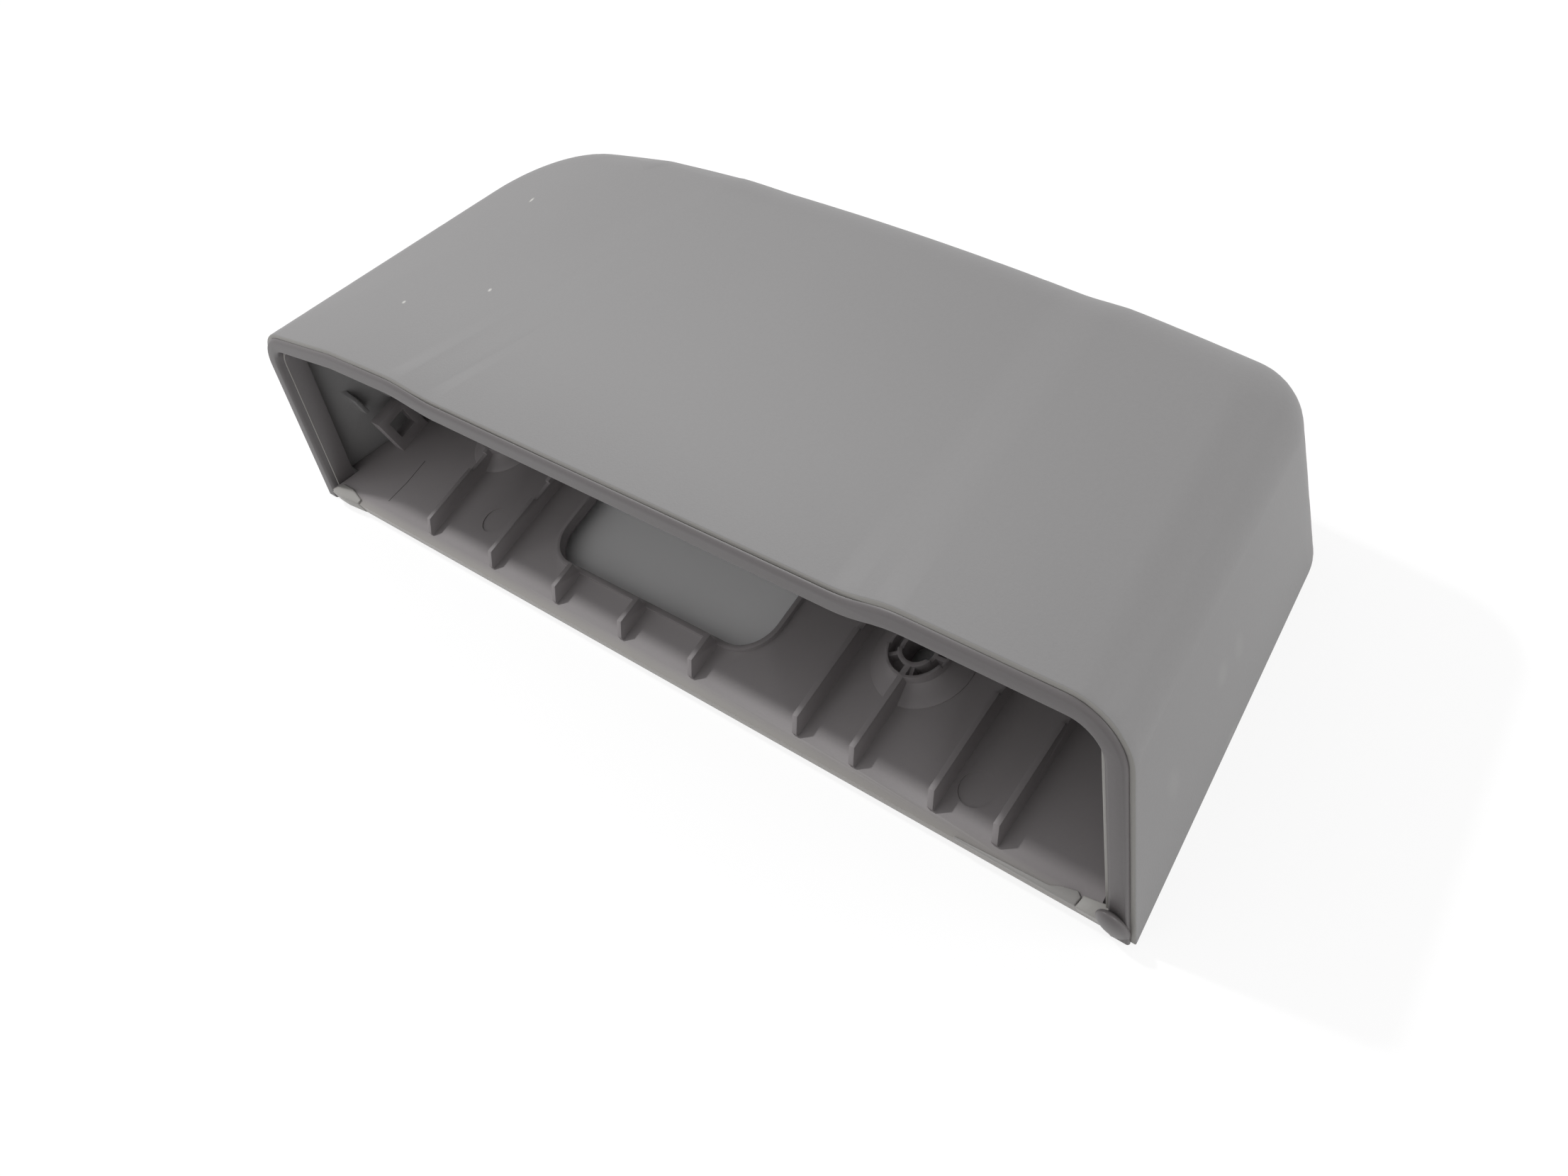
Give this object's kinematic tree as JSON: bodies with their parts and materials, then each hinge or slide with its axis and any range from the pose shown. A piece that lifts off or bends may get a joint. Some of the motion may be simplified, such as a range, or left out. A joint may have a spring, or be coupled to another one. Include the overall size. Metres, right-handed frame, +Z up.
{
  "type": "trim panel",
  "caption": "Hollow hood-shaped interior trim cover on a ribbed base plate, with screw bosses, a window and a rubber seal round its mouth.",
  "frame": {"origin": "middle of the bounding box's bottom face, on the floor that the cover stands on", "axes": "+X along the cover's length, the open mouth faces -Y, +Z up"},
  "size_m": [0.3267, 0.1282, 0.0678],
  "materials": {
    "grained_plastic": "fine moulded grain, matt grey",
    "base_plastic": "plain moulded grey plastic",
    "seal_rubber": "soft extruded rubber with a satin face"
  },
  "bodies": {
    "root": {"hood_cover": "grained_plastic", "base_plate": "base_plastic", "glass_seal": "seal_rubber"}
  },
  "joints": []
}
